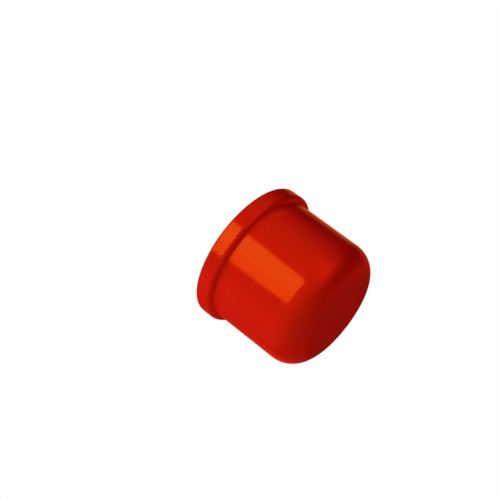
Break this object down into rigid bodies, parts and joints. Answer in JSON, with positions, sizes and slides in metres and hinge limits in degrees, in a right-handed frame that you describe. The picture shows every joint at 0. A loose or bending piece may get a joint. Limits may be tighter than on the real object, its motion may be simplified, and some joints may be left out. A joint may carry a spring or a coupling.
{
  "type": "threaded protection cap",
  "caption": "Round moulded plastic protection cap with a collar at its open end, a rounded shoulder, a flat closed end and an internal thread.",
  "frame": {"origin": "centre of the open rim's face, on the cap's axis", "axes": "+Z along the cap's axis from the open rim to the closed end; X and Y are any two directions across it"},
  "size_m": [0.03, 0.03, 0.0234],
  "materials": {
    "red_plastic": "glossy moulded polyethylene, solid bright red"
  },
  "bodies": {
    "root": {"threaded_cap": "red_plastic"}
  },
  "joints": []
}
